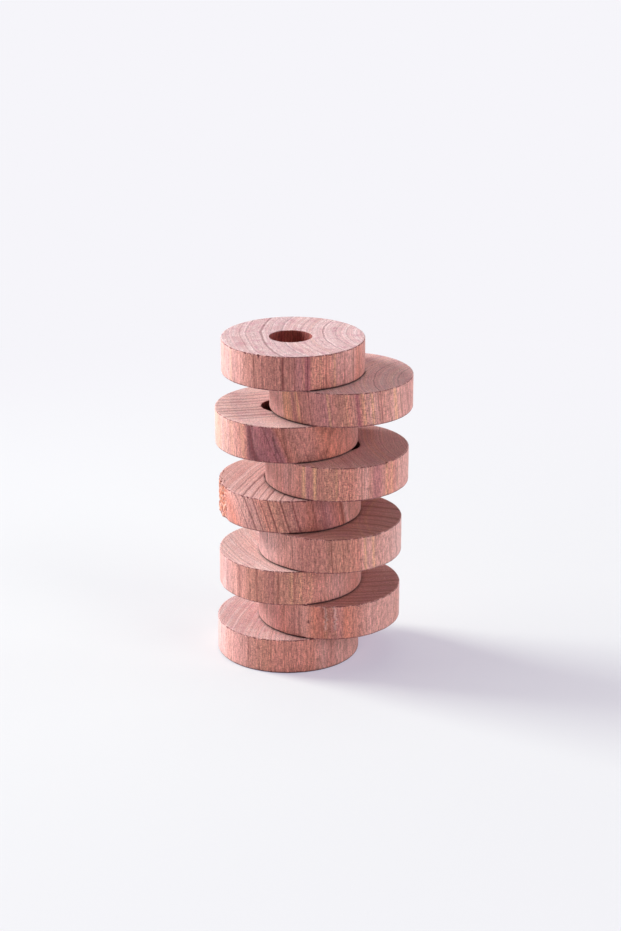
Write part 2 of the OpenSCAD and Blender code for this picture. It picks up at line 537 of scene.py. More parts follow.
def saw_marks(k, points, seed):
    across = math.radians(CUTS[k]["seed"] * 40)
    along = points[:, 0] * math.cos(across) + points[:, 1] * math.sin(across)
    saw = 0.5 + 0.5 * np.sin(along * 2 * math.pi / SAW_PITCH + 3 * lumps(points, (6, 6, 6), seed))
    pits = np.clip(lumps(points, (0.7, 0.7, 1), seed + 1) - PIT_FROM, 0, 1) * PIT_DEPTH
    rough = ROUGH_DEPTH * lumps(points, (0.9, 0.9, 1), seed + 2)
    points[:, 2] -= SAW_DEPTH * saw + rough + pits


print("saw ridges:", SAW_PITCH, "mm apart and", SAW_DEPTH, "mm deep")

# %% Marks on the turned rim
FIBRE_DEPTH = 0.05
LATHE_DEPTH = 0.03
SWELL_DEPTH = 0.05
RAG_FROM = 0.25


def torn_out(k, points, seed):
    lo, hi, worst = TORN[k]
    small = lumps(points, (0.7, 0.7, 0.8), seed + 6)
    large = lumps(points, (1.8, 1.8, 2), seed + 7)
    rags = np.clip(small * 0.6 + large * 0.4 - RAG_FROM, 0, 1)
    return stretch(lo, hi, 8) * worst * rags**1.3 * 1.5


def lathe_marks(k, points, seed):
    depth = FIBRE_DEPTH * lumps(points, (0.6, 0.6, 5), seed + 3)
    depth = depth + LATHE_DEPTH * lumps(points, (5, 5, 1.1), seed + 4)
    depth = depth + SWELL_DEPTH * lumps(points, (9, 9, 9), seed + 5)
    if k in TORN:
        depth = depth + torn_out(k, points, seed)
    for angle, down, half_wide, half_high, deep in GOUGES[k]:
        side = np.radians(degrees - angle) * SIZES[k]["radius"] / half_wide
        up = (points[:, 2] + down) / half_high
        depth = depth + deep * np.exp(-(side**2) - up**4)
    points[:, :2] -= outward * depth[:, None]


print("fibres stand", FIBRE_DEPTH, "mm high, the torn patch is up to", TORN[5][2], "mm deep")

# %% Marks in the drilled hole
DRILL_PITCH = 0.9
DRILL_DEPTH = 0.04
DRILL_ROUGH = 0.12


def drill_marks(points, seed):
    turns = 0.5 + 0.5 * np.sin(points[:, 2] * 2 * math.pi / DRILL_PITCH + angles)
    depth = DRILL_DEPTH * turns + DRILL_ROUGH * lumps(points, (0.8, 0.8, 3), seed + 8)
    points[:, :2] += outward * depth[:, None]


def carve(k, rows):
    seed = 100 * k
    for points, kind in rows:
        if kind == "top":
            saw_marks(k, points, seed)
        if kind in ("rim", "edge"):
            lathe_marks(k, points, seed)
        if kind == "hole":
            drill_marks(points, seed)
    return rows


print("the drill's marks are one each", DRILL_PITCH, "mm, off the centre by", SIZES[9]["hole"])


# %% Bridge the rows into a closed skin
def slice_mesh(k):
    rows = [points for points, _ in carve(k, slice_rows(k))]
    verts = np.concatenate(rows) * MM
    count = len(rows)
    i, j = np.meshgrid(np.arange(count), np.arange(AROUND), indexing="ij")
    i2, j2 = (i + 1) % count, (j + 1) % AROUND
    corners = [i * AROUND + j, i2 * AROUND + j, i2 * AROUND + j2, i * AROUND + j2]
    quads = np.stack(corners, -1).reshape(-1, 4)
    mesh = bpy.data.meshes.new(f"cedar_slice_{k}")
    mesh.vertices.add(len(verts))
    mesh.vertices.foreach_set("co", verts.astype(np.float32).ravel())
    mesh.loops.add(quads.size)
    mesh.loops.foreach_set("vertex_index", quads.astype(np.int32).ravel())
    mesh.polygons.add(len(quads))
    mesh.polygons.foreach_set("loop_start", (np.arange(len(quads)) * 4).astype(np.int32))
    mesh.update(calc_edges=True)
    mesh.polygons.foreach_set("use_smooth", np.ones(len(quads), bool))
    mesh.validate()
    return mesh


slices = {}
for k in CUTS:
    slices[k] = bpy.data.objects.new(f"cedar_ring_{k}", slice_mesh(k))
    slices[k].location = SIZES[k]["at"]
    bpy.context.scene.collection.objects.link(slices[k])
print(len(slices), "slices of", len(slices[9].data.polygons), "quads each")

# %% [markdown]
# ## Building shaders from code
# A node tree is easier to read as a list of steps. One helper adds a node, sets what it is
# told and links what is already a socket, and hands back the outputs for the next step.
# A second one fills a colour ramp from a list of stops.


# %% One helper for every node
def add(tree, kind, inputs=None, **settings):
    node = tree.nodes.new(kind)
    for name, value in settings.items():
        setattr(node, name, value)
    for socket, value in (inputs or {}).items():
        if isinstance(value, bpy.types.NodeSocket):
            tree.links.new(value, node.inputs[socket])
        else:
            node.inputs[socket].default_value = value
    return node.outputs


MOST_STOPS = 32


def fill(ramp_output, stops):
    ramp = ramp_output.node.color_ramp
    while len(ramp.elements) > 1:
        ramp.elements.remove(ramp.elements[-1])
    stops = sorted(stops, key=lambda stop: stop[0])
    ramp.elements[0].position, ramp.elements[0].color = stops[0]
    for place, colour in stops[1:MOST_STOPS]:
        element = ramp.elements.new(place)
        element.color = colour
    return ramp_output


print("a ramp holds up to", MOST_STOPS, "stops")

# %% [markdown]
# ## From the rim into the wood
# The recipes name angles on the rim. What the shader needs is how far from the pith that
# spot is, because one growth layer keeps one distance. "reach" measures it, and "share"
# turns it into a place from 0 to 1 on a ramp that spans the whole slice.

# %% Distances from the pith
MARGIN = 3  # mm that a ramp reaches past the slice on both sides


def reach(centre, where, radius):
    if not isinstance(where, tuple):
        turn = math.radians(where)
        where = (radius * math.sin(turn), -radius * math.cos(turn))
    return math.hypot(where[0] - centre[0], where[1] - centre[1])


def span(centre, radius):
    far = math.hypot(*centre)
    return max(0.0, far - radius - MARGIN), far + radius + MARGIN


def share(centre, where, radius):
    low, high = span(centre, radius)
    return (reach(centre, where, radius) - low) / (high - low)


print("slice 9 spans", [round(r) for r in span(CUTS[9]["pith"], NOMINAL_RADIUS)], "mm from the pith")

# %% [markdown]
# ## Ramps of lines and of zones
# A dark line is one narrow peak on a ramp, and a flecked zone is one broad plateau. Between
# the zones a few flecks are left, because no part of cedar is quite free of them.

# %% Stops for lines and zones
LINE_SPREAD = 0.75  # a peak's foot, as a share of the line's width
ZONE_SOFT = 1.2  # mm over which a zone begins
FEW_FLECKS = 0.3


def grey(level):
    return (level, level, level, 1)


def line_stops(centre, entries, radius):
    low, high = span(centre, radius)
    stops = [(0.0, grey(0))]
    for where, wide, strength in entries:
        at = share(centre, where, radius)
        half = LINE_SPREAD * wide / (high - low)
        stops += [(at - half, grey(0)), (at, grey(strength)), (at + half, grey(0))]
    return stops


def zone_stops(centre, entries, radius):
    low, high = span(centre, radius)
    soft = ZONE_SOFT / (high - low)
    stops = [(0.0, grey(FEW_FLECKS))]
    for lo, hi, strength in entries:
        a, b = sorted((share(centre, lo, radius), share(centre, hi, radius)))
        stops += [(a - soft, grey(FEW_FLECKS)), (a + soft, grey(strength))]
        stops += [(b - soft, grey(strength)), (b + soft, grey(FEW_FLECKS))]
    return stops


print("slice 9 has", len(line_stops(CUTS[9]["pith"], CUTS[9]["lines"], NOMINAL_RADIUS)), "stops of lines")

# %% [markdown]
# ## Turned Eastern red cedar
# The wood of all nine slices is Eastern red cedar, turned on a lathe, sawn across and left
# bare. To the eye the rim is warm pink and striped like cloth, and the top is paler, dry
# and crossed by fine lines. Nothing shines.
# All of its figure is worked out in the solid: the shader asks where in the wood a
# point lies, not where on the surface, so a streak on the rim meets its own line on the
# top. An image could not do that without a seam at every arris.
# The material is made in steps. Each step is one function that takes "wood", a bundle of
# what the earlier steps made, and adds its own outputs to it.

# %% Where a point lies in the slice
DRAWN_OUT = 0.15  # share of its height that counts, so slow patterns run down the fibres


def locate(wood):
    tree = wood.tree
    place = add(tree, "ShaderNodeTexCoord")["Object"]
    wood.mm = add(tree, "ShaderNodeVectorMath", {0: place, "Scale": 1 / MM}, operation="SCALE")[0]
    wood.flat = add(tree, "ShaderNodeVectorMath", {0: wood.mm, 1: (1, 1, 0)}, operation="MULTIPLY")[0]
    wood.height = add(tree, "ShaderNodeSeparateXYZ", {0: wood.mm})["Z"]
    wood.slow = add(tree, "ShaderNodeVectorMath",
                    {0: wood.mm, 1: (1, 1, DRAWN_OUT), 2: (wood.cut["seed"] * 31, 0, 0)},
                    operation="MULTIPLY_ADD")[0]


print("a place is its object coordinates times", 1 / MM, "in mm from the middle of the top")

# %% [markdown]
# ## Growth layers
# A layer keeps its distance from the pith, but not exactly: it wanders by up to 0.7 mm over
# some 12 mm, and ripples by 0.3 mm over 2 mm. It also leans, because the slice wasn't cut
# quite across the trunk. Two sets are made, one for the growth lines and one for the
# colour bands, which have a centre of their own in some slices.

# %% Distance of a point from the pith, as the layers count it
WANDER_PER_MM = 0.08
WANDER = 1.5  # mm from side to side
RIPPLE_PER_MM = 0.5
RIPPLE = 0.6


def sway(wood):
    tree = wood.tree
    slow = add(tree, "ShaderNodeTexNoise", {"Vector": wood.slow, "Scale": WANDER_PER_MM, "Detail": 1.0})[0]
    fast = add(tree, "ShaderNodeTexNoise", {"Vector": wood.slow, "Scale": RIPPLE_PER_MM, "Detail": 2.0})[0]
    aside = add(tree, "ShaderNodeMath", {0: slow, 1: WANDER, 2: -WANDER / 2}, operation="MULTIPLY_ADD")[0]
    aside = add(tree, "ShaderNodeMath", {0: fast, 1: RIPPLE, 2: aside}, operation="MULTIPLY_ADD")[0]
    return add(tree, "ShaderNodeMath", {0: aside, 1: RIPPLE / 2}, operation="SUBTRACT")[0]


def layers(wood, centre, drift, ends=None):
    tree, radius = wood.tree, wood.radius
    away = add(tree, "ShaderNodeVectorMath", {0: wood.flat, 1: (centre[0], centre[1], 0)},
               operation="DISTANCE")["Value"]
    if ends:
        (start, first), (stop, last) = ends
        lean = add(tree, "ShaderNodeMapRange", {0: away, 1: reach(centre, start, radius),
                   2: reach(centre, stop, radius), 3: first, 4: last})[0]
    else:
        fan = wood.cut.get("fan", 0.0)
        lean = add(tree, "ShaderNodeMath", {0: away, 1: fan, 2: drift - fan * math.hypot(*centre)},
                   operation="MULTIPLY_ADD")[0]
    away = add(tree, "ShaderNodeMath", {0: wood.height, 1: lean, 2: away}, operation="MULTIPLY_ADD")[0]
    away = add(tree, "ShaderNodeMath", {0: away, 1: wood.sway}, operation="ADD")[0]
    low, high = span(centre, radius)
    return away, add(tree, "ShaderNodeMapRange", {0: away, 1: low, 2: high})[0]


def grow(wood):
    cut = wood.cut
    wood.pith = cut["pith"]
    wood.bands = cut.get("bands", wood.pith)
    wood.sway = sway(wood)
    wood.layer, wood.layer_share = layers(wood, wood.pith, cut["drift"])
    band_drift = cut.get("band_drift", cut["drift"])
    wood.band, wood.band_share = layers(wood, wood.bands, band_drift, cut.get("lean"))


print("layers wander over", 1 / WANDER_PER_MM, "mm")


# %% Tones, lines, streaks and zones on ramps
def paint_layers(wood):
    tree, cut, bands, radius = wood.tree, wood.cut, wood.bands, wood.radius

    def ramp(place, stops):
        return fill(add(tree, "ShaderNodeValToRGB", {0: place})[0], stops)

    tones = [(share(bands, where, radius), linear(TONES[name])) for where, name in cut["tones"]]
    wood.tone = ramp(wood.band_share, tones)
    wood.lines = ramp(wood.layer_share, line_stops(wood.pith, cut["lines"], radius))
    wood.streaks = ramp(wood.band_share, line_stops(bands, cut.get("streaks", []), radius))
    wood.cream = ramp(wood.band_share, line_stops(bands, cut.get("cream", []), radius))
    wood.zones = ramp(wood.band_share, zone_stops(bands, cut["flecks"], radius))


print("slice 9 has", len(CUTS[9]["tones"]), "stops of tones")

# %% [markdown]
# ## Pale squiggles
# Where a bundle of fibres was cut askew, a pale squiggle runs down the front of the rim.
# It is the set of points whose distance from an upright line is the same as a wave that
# depends on the height alone.

# %% Squiggles of the second slice
WAVE_PER_MM = 0.8
WAVE = 3.0  # mm from side to side
SQUIGGLE_CORE = 0.2  # mm either side that has its full strength
SQUIGGLE_EDGE = 0.5  # mm either side where it ends
SQUIGGLE_STRENGTH = 0.45


def squiggle(wood, angle):
    tree = wood.tree
    turn = math.radians(angle)
    across = add(tree, "ShaderNodeVectorMath", {0: wood.flat, 1: (math.cos(turn), math.sin(turn), 0)},
                 operation="DOT_PRODUCT")["Value"]
    wave = add(tree, "ShaderNodeTexNoise", {"W": wood.height, "Scale": WAVE_PER_MM, "Detail": 3.0},
               noise_dimensions="1D")[0]
    bent = add(tree, "ShaderNodeMath", {0: wave, 1: WAVE, 2: -WAVE / 2}, operation="MULTIPLY_ADD")[0]
    bent = add(tree, "ShaderNodeMath", {0: across, 1: bent}, operation="SUBTRACT")[0]
    bent = add(tree, "ShaderNodeMath", {0: bent}, operation="ABSOLUTE")[0]
    bent = add(tree, "ShaderNodeMapRange",
               {0: bent, 1: SQUIGGLE_CORE, 2: SQUIGGLE_EDGE, 3: SQUIGGLE_STRENGTH, 4: 0.0})[0]
    front = add(tree, "ShaderNodeSeparateXYZ", {0: wood.flat})["Y"]
    front = add(tree, "ShaderNodeMapRange", {0: front, 1: -21.9, 2: -22.1})[0]
    above = add(tree, "ShaderNodeMapRange", {0: wood.height, 1: -8.5, 2: -7.5})[0]
    bent = add(tree, "ShaderNodeMath", {0: bent, 1: front}, operation="MULTIPLY")[0]
    return add(tree, "ShaderNodeMath", {0: bent, 1: above}, operation="MULTIPLY")[0]


def squiggles(wood):
    found = [squiggle(wood, angle) for angle in wood.cut.get("squiggles", [])]
    wood.squiggles = found[0] if found else None
    for other in found[1:]:
        both = {0: wood.squiggles, 1: other}
        wood.squiggles = add(wood.tree, "ShaderNodeMath", both, operation="MAXIMUM")[0]


print("squiggles on slices", [k for k in CUTS if "squiggles" in CUTS[k]])

# %% [markdown]
# ## Fibres
# Fibres run down the slice: they are streaks on the rim and dots on the top. Real ones are
# about 0.03 mm wide, far too fine to show here, so they are drawn 0.3 mm wide and some 2 mm
# long, and the specks between them 0.5 mm across. Early and late wood make fine lines that
# follow the layers, 0.6 mm and 1.1 mm apart.

# %% Fibres, specks and fine lines
FIBRES_PER_MM = (3.0, 3.0, 0.45)
SPECKS_PER_MM = 2.0
FINE_PER_MM = 1.6
HAIRS_PER_MM = 0.9
HAIR_FROM, HAIR_FULL = 0.37, 0.30  # noise below the first begins a hair line
HAIR_STRENGTH = 0.4


def fibres(wood):
    tree = wood.tree
    grain = add(tree, "ShaderNodeVectorMath", {0: wood.mm, 1: FIBRES_PER_MM}, operation="MULTIPLY")[0]
    wood.fibre = add(tree, "ShaderNodeTexNoise",
                     {"Vector": grain, "Scale": 1.0, "Detail": 4.0, "Roughness": 0.7})[0]
    wood.speck = add(tree, "ShaderNodeTexNoise",
                     {"Vector": wood.mm, "Scale": SPECKS_PER_MM, "Detail": 2.0, "Roughness": 0.8})[0]
    wood.fine = add(tree, "ShaderNodeTexNoise",
                    {"W": wood.layer, "Scale": FINE_PER_MM, "Detail": 3.0, "Roughness": 0.7},
                    noise_dimensions="1D")[0]
    hair = add(tree, "ShaderNodeTexNoise",
               {"W": wood.layer, "Scale": HAIRS_PER_MM, "Detail": 2.0, "Roughness": 0.8},
               noise_dimensions="1D")[0]
    wood.hair = add(tree, "ShaderNodeMapRange",
                    {0: hair, 1: HAIR_FROM, 2: HAIR_FULL, 3: 0.0, 4: HAIR_STRENGTH})[0]


print("a fibre is drawn", round(1 / FIBRES_PER_MM[0], 2), "mm wide")

# %% [markdown]
# ## Rays
# Rays are thin plates that run out from the pith. The rim cuts them into flecks, some pale
# and some dark. Real ones are a few hundredths of a mm thick, too fine to show, so they are
# drawn 0.4 mm thick and high and 1.1 mm long.

# %% Flecks of the rays
RAYS_OUT_PER_MM = 0.9
RAYS_ROUND_PER_MM = 2.6


def rays(wood):
    tree = wood.tree
    corner = add(tree, "ShaderNodeVectorMath", {0: wood.flat, 1: (wood.bands[0], wood.bands[1], 0)},
                 operation="SUBTRACT")[0]
    corner = add(tree, "ShaderNodeSeparateXYZ", {0: corner})
    around = add(tree, "ShaderNodeMath", {0: corner["Y"], 1: corner["X"]}, operation="ARCTAN2")[0]
    around = add(tree, "ShaderNodeMath", {0: around, 1: RAYS_ROUND_PER_MM * math.hypot(*wood.bands)},
                 operation="MULTIPLY")[0]
    out = add(tree, "ShaderNodeMath", {0: wood.band, 1: RAYS_OUT_PER_MM}, operation="MULTIPLY")[0]
    down = add(tree, "ShaderNodeMath", {0: wood.height, 1: RAYS_ROUND_PER_MM}, operation="MULTIPLY")[0]
    where = add(tree, "ShaderNodeCombineXYZ", {0: out, 1: around, 2: down})[0]
    wood.ray = add(tree, "ShaderNodeTexNoise",
                   {"Vector": where, "Scale": 1.0, "Detail": 2.0, "Distortion": 0.7})[0]
    wood.pale_fleck = add(tree, "ShaderNodeMapRange", {0: wood.ray, 1: 0.52, 2: 0.60})[0]
    wood.dark_fleck = add(tree, "ShaderNodeMapRange", {0: wood.ray, 1: 0.47, 2: 0.38})[0]


print("a ray is drawn", round(1 / RAYS_ROUND_PER_MM, 2), "mm thick")

# %% [markdown]
# ## End grain, rim and arris
# The saw cut across the fibres, so the top is paler and duller than the rim, where they lie
# along the surface. Which of the two a point belongs to follows from how far it looks up
# or down. The arris is what lies in between.

# %% Tell the top from the rim
ARRIS_FROM, ARRIS_FULL = 0.1, 0.35  # upright part of the normal, from 0 to 1
END_FROM, END_FULL = 0.6, 0.9


def sides(wood):
    tree = wood.tree
    normal = add(tree, "ShaderNodeNewGeometry")["Normal"]
    normal = add(tree, "ShaderNodeSeparateXYZ", {0: normal})["Z"]
    upright = add(tree, "ShaderNodeMath", {0: normal}, operation="ABSOLUTE")[0]
    wood.end = add(tree, "ShaderNodeMapRange", {0: upright, 1: END_FROM, 2: END_FULL})[0]
    arris = add(tree, "ShaderNodeMapRange", {0: upright, 1: ARRIS_FROM, 2: ARRIS_FULL})[0]
    wood.arris = add(tree, "ShaderNodeMath", {0: arris, 1: wood.end}, operation="SUBTRACT",
                     use_clamp=True)[0]


def blend(wood, share_of_new, old, new):
    return add(wood.tree, "ShaderNodeMix", {0: share_of_new, 6: old, 7: new}, data_type="RGBA")[2]


print("a normal more upright than", END_FULL, "is end grain's")

# %% [markdown]
# ## The sawn top
# End grain takes its own tone from the recipe, with some of the band's tone in it, and on
# some slices painted light and shade in it. Pale patches and ribbons along the layers are
# painted highlight, and the wood's oil leaves rosy stains.

# %% Colour of the end grain
BAND_IN_TOP = 0.3
HIGHLIGHT_PER_MM = 0.45
RIBBONS_PER_MM = 0.6
STAINS_PER_MM = 0.3


def end_grain(wood):
    tree, cut = wood.tree, wood.cut
    top = blend(wood, BAND_IN_TOP, linear(cut["top"]), wood.tone)
    # painted highlight: pale patches and ribbons along the layers on the top
    bloom = add(tree, "ShaderNodeTexNoise",
                {"Vector": wood.mm, "Scale": HIGHLIGHT_PER_MM, "Detail": 3.0, "Roughness": 0.7})[0]
    ribbon = add(tree, "ShaderNodeTexNoise", {"W": wood.layer, "Scale": RIBBONS_PER_MM, "Detail": 1.0},
                 noise_dimensions="1D")[0]
    bloom = add(tree, "ShaderNodeMath", {0: bloom, 1: ribbon}, operation="ADD")[0]
    bloom = add(tree, "ShaderNodeMapRange", {0: bloom, 1: 0.92, 2: 1.3, 3: 0.0, 4: cut["bloom"]})[0]
    top = blend(wood, bloom, top, linear(TONES["chalk"]))
    stain = add(tree, "ShaderNodeTexNoise",
                {"Vector": wood.slow, "Scale": STAINS_PER_MM, "Detail": 3.0, "Roughness": 0.7})[0]
    stain = add(tree, "ShaderNodeMapRange", {0: stain, 1: 0.48, 2: 0.70, 3: 0.0, 4: cut["stain"]})[0]
    wood.top = blend(wood, stain, top, linear(TONES["magenta"]))


print("ribbons are", round(1 / RIBBONS_PER_MM, 1), "mm apart")

# %% [markdown]
# ## Torn fibres
# Where the lathe tore the rim, fresh orange wood shows, with pale splinters lit by painted
# highlight and painted shade in the hollows between them. The patch ends in a ragged line,
# because noise is added to how far a point faces the middle of the patch.

# %% Colour of the torn patch
RAGS_PER_MM = 0.9
RAGGED = 2.0  # mm that the border of the patch comes and goes


def torn_patch(wood, k):
    tree = wood.tree
    lo, hi, _ = TORN[k]
    ragged = add(tree, "ShaderNodeTexNoise",
                 {"Vector": wood.mm, "Scale": RAGS_PER_MM, "Detail": 3.0, "Roughness": 0.7})[0]
    # painted shade in the hollows, fresh orange wood, pale splinters with painted highlight
    fresh = fill(add(tree, "ShaderNodeValToRGB", {0: ragged})[0],
                 [(0.38, linear(TONES["rust"])), (0.5, linear(TONES["bark"])),
                  (0.62, linear(TONES["splinter"]))])
    where = (math.radians(lo) + math.radians(hi)) / 2
    half = wood.radius * math.cos((math.radians(hi) - math.radians(lo)) / 2)
    facing = add(tree, "ShaderNodeVectorMath", {0: wood.flat, 1: (math.sin(where), -math.cos(where), 0)},
                 operation="DOT_PRODUCT")["Value"]
    facing = add(tree, "ShaderNodeMath", {0: ragged, 1: RAGGED, 2: facing}, operation="MULTIPLY_ADD")[0]
    mask = add(tree, "ShaderNodeMapRange", {0: facing, 1: half + 0.8, 2: half + 1.6})[0]
    wood.tone = blend(wood, mask, wood.tone, fresh)


print("torn:", list(TORN))

# %% [markdown]
# ## Blotches, flecks and sapwood
# Over the broad tones come mauve blotches 6 mm across, then cream streaks of sapwood, which
# the rays cross, then the pale and dark flecks. All of these are weaker on the end grain.

# %% Colour down to the flecks
BLOTCHES_PER_MM = 0.16
FLECKS = 0.42  # strength of the flecks in a zone of 1.0
ON_END_GRAIN = 0.35  # share of flecks and sapwood that shows on the top
SAPWOOD = 1.5


def colour_of_wood(wood):
    tree = wood.tree
    colour = blend(wood, wood.end, wood.tone, wood.top)
    blotch = add(tree, "ShaderNodeTexNoise",
                 {"Vector": wood.slow, "Scale": BLOTCHES_PER_MM, "Detail": 2.0})[0]
    blotch = add(tree, "ShaderNodeMapRange", {0: blotch, 1: 0.5, 2: 0.72, 3: 0.0, 4: 0.35})[0]
    colour = blend(wood, blotch, colour, linear(TONES["mauve"]))
    wood.zone = add(tree, "ShaderNodeMath", {0: wood.zones, 1: FLECKS}, operation="MULTIPLY")[0]
    pale = add(tree, "ShaderNodeMath", {0: wood.pale_fleck, 1: wood.zone}, operation="MULTIPLY")[0]
    dark = add(tree, "ShaderNodeMath", {0: wood.dark_fleck, 1: wood.zone}, operation="MULTIPLY")[0]
    side = add(tree, "ShaderNodeMapRange", {0: wood.end, 3: 1.0, 4: ON_END_GRAIN})[0]
    pale = add(tree, "ShaderNodeMath", {0: pale, 1: side}, operation="MULTIPLY")[0]
    dark = add(tree, "ShaderNodeMath", {0: dark, 1: side}, operation="MULTIPLY")[0]
    creamy = add(tree, "ShaderNodeMath", {0: wood.cream, 1: side}, operation="MULTIPLY")[0]
    creamy = add(tree, "ShaderNodeMath", {0: creamy, 1: wood.ray}, operation="MULTIPLY")[0]
    creamy = add(tree, "ShaderNodeMath", {0: creamy, 1: SAPWOOD}, operation="MULTIPLY", use_clamp=True)[0]
    colour = blend(wood, creamy, colour, linear(TONES["cream"]))
    colour = blend(wood, pale, colour, linear(TONES["fleck"]))
    wood.colour = blend(wood, dark, colour, linear(TONES["line"]))


print("blotches are about", round(1 / BLOTCHES_PER_MM), "mm across")

# %% [markdown]
# ## Growth lines
# Late wood, laid down at the end of each summer, draws a thin dark line. The recipe says how
# strongly the lines show on the rim and on the top. Fibres break them up a little, and
# streaks that show on the rim alone are added there.


# %% Draw the lines
def draw_lines(wood):
    tree, cut = wood.tree, wood.cut
    thin = add(tree, "ShaderNodeMapRange", {0: wood.end, 3: 1.0, 4: cut["hair"]})[0]
    thin = add(tree, "ShaderNodeMath", {0: wood.hair, 1: thin}, operation="MULTIPLY")[0]
    drawn = add(tree, "ShaderNodeMath", {0: wood.lines, 1: thin}, operation="MAXIMUM")[0]
    show = add(tree, "ShaderNodeMapRange", {0: wood.end, 3: cut["rim_lines"], 4: cut["top_lines"]})[0]
    drawn = add(tree, "ShaderNodeMath", {0: drawn, 1: show}, operation="MULTIPLY")[0]
    on_rim = add(tree, "ShaderNodeMapRange", {0: wood.end, 3: 1.0, 4: 0.0})[0]
    streaks = add(tree, "ShaderNodeMath", {0: wood.streaks, 1: on_rim}, operation="MULTIPLY")[0]
    drawn = add(tree, "ShaderNodeMath", {0: drawn, 1: streaks}, operation="MAXIMUM")[0]
    broken = add(tree, "ShaderNodeMapRange", {0: wood.fibre, 1: 0.35, 2: 0.55, 3: 0.7, 4: 1.0})[0]
    wood.drawn = add(tree, "ShaderNodeMath", {0: drawn, 1: broken}, operation="MULTIPLY")[0]
    wood.colour = blend(wood, wood.drawn, wood.colour, linear(TONES["line"]))
    if wood.squiggles:
        wood.colour = blend(wood, wood.squiggles, wood.colour, linear(TONES["lilac"]))


print("slice 9 has", len(CUTS[9]["lines"]), "growth lines")

# %% [markdown]
# ## Worn corners, painted light and shade, and the hole
# The upper arris is pale, from wear and from painted highlight, with dark spots along it.
# A dark band along the lower arris is painted shade, the shade of the seam where a slice
# rests on the one below. The wall of the hole is painted shade as well: dark red-brown in
# the top slice, and nearly black below a covering slice.

# %% Colour of the corners and of the hole
ARRIS_SPOTS_PER_MM = 1.1
# share of pale on the arris, from worn wood and painted highlight
WEAR_AND_HIGHLIGHT = 0.5  # share of pale wood on the arris
LOW_SHADE_FROM, LOW_SHADE_FULL = 0.6, 0.2  # mm above the underside
LOW_SHADE = 0.6
# painted shade in the hole: the next two numbers say how far round it reaches and how strong it is
PAST_HOLE = 0.25  # mm round the hole that its lining reaches
HOLE_SHADE = 0.85


def corner_wear_and_painted_light(wood, k):
    tree = wood.tree
    # dark spots along the arris
    arris_dark_spots = add(tree, "ShaderNodeTexNoise",
               {"Vector": wood.mm, "Scale": ARRIS_SPOTS_PER_MM, "Detail": 3.0, "Roughness": 0.7})[0]
    arris_dark_spots = add(tree, "ShaderNodeMapRange", {0: arris_dark_spots, 1: 0.44, 2: 0.5, 3: 0.0, 4: 0.95})[0]
    arris_dark_spots = add(tree, "ShaderNodeMath", {0: arris_dark_spots, 1: wood.arris}, operation="MULTIPLY")[0]
    # pale arris: worn wood and painted highlight
    worn = add(tree, "ShaderNodeMath", {0: wood.arris, 1: WEAR_AND_HIGHLIGHT}, operation="MULTIPLY")[0]
    colour = blend(wood, worn, wood.colour, linear(TONES["blush"]))
    colour = blend(wood, arris_dark_spots, colour, linear(TONES["line"]))
    thick = SIZES[k]["thick"]
    # painted shade: a dark band along the lower arris, as in the seam on the slice below
    painted_low_shade = add(tree, "ShaderNodeMapRange",
                 {0: wood.height, 1: LOW_SHADE_FROM - thick, 2: LOW_SHADE_FULL - thick, 3: 0.0, 4: LOW_SHADE})[0]
    wood.colour = blend(wood, painted_low_shade, colour, linear(TONES["line"]))


def paint_hole_shade(wood, k):
    tree = wood.tree
    middle = SIZES[k]["hole"]
    # painted shade on the wall of the hole: dark red-brown in the top slice, nearly black below a covering
    # slice
    wall = linear("#84382F" if k == max(CUTS) else "#4A1D18")
    inside = add(tree, "ShaderNodeVectorMath", {0: wood.flat, 1: (middle[0], middle[1], 0)},
                 operation="DISTANCE")["Value"]
    hole_shade_edge = SIZES[k]["hole_radius"] + PAST_HOLE
    inside = add(tree, "ShaderNodeMapRange", {0: inside, 1: hole_shade_edge, 2: hole_shade_edge - 0.1, 3: 0.0, 4: HOLE_SHADE})[0]
    wood.colour = blend(wood, inside, wood.colour, wall)


# how far round its middle the painted shade of the top slice's hole reaches
print("the top slice's hole is lined", SIZES[9]["hole_radius"] + PAST_HOLE, "mm round its middle")

# %% [markdown]
# ## Light and shade of the fibres, and painted shade in the seams
# Each fibre is a little lighter or darker than the next. Where two slices touch, hardly any
# light reaches the seam, and little reaches the hole and the corners under a slice. That
# shade is painted into the colour: the Ambient Occlusion node finds the points that have
# wood within 2.2 mm in front of them and darkens them.
# On the rim the colours are made slightly richer, as painted shade: wood in shade, lit by
# light bounced between the slices, looks deeper in colour. A recipe can make a top richer
# too, as painted shade.

# %% Shade
FINE_SHADE, FIBRE_SHADE, SPECK_SHADE = 0.8, 2.5, 1.2
SHADE_BASE = -1.3  # brings the mean of the three back to about 1
DARKEST, LIGHTEST = 0.35, 1.7
SEAM_REACH = 2.2
SEAM_SHADE = 0.22
RIM_SHADE_RICHNESS = 1.06
HUE = 0.497  # 0.5 leaves the hue as it is, and less turns red towards purple


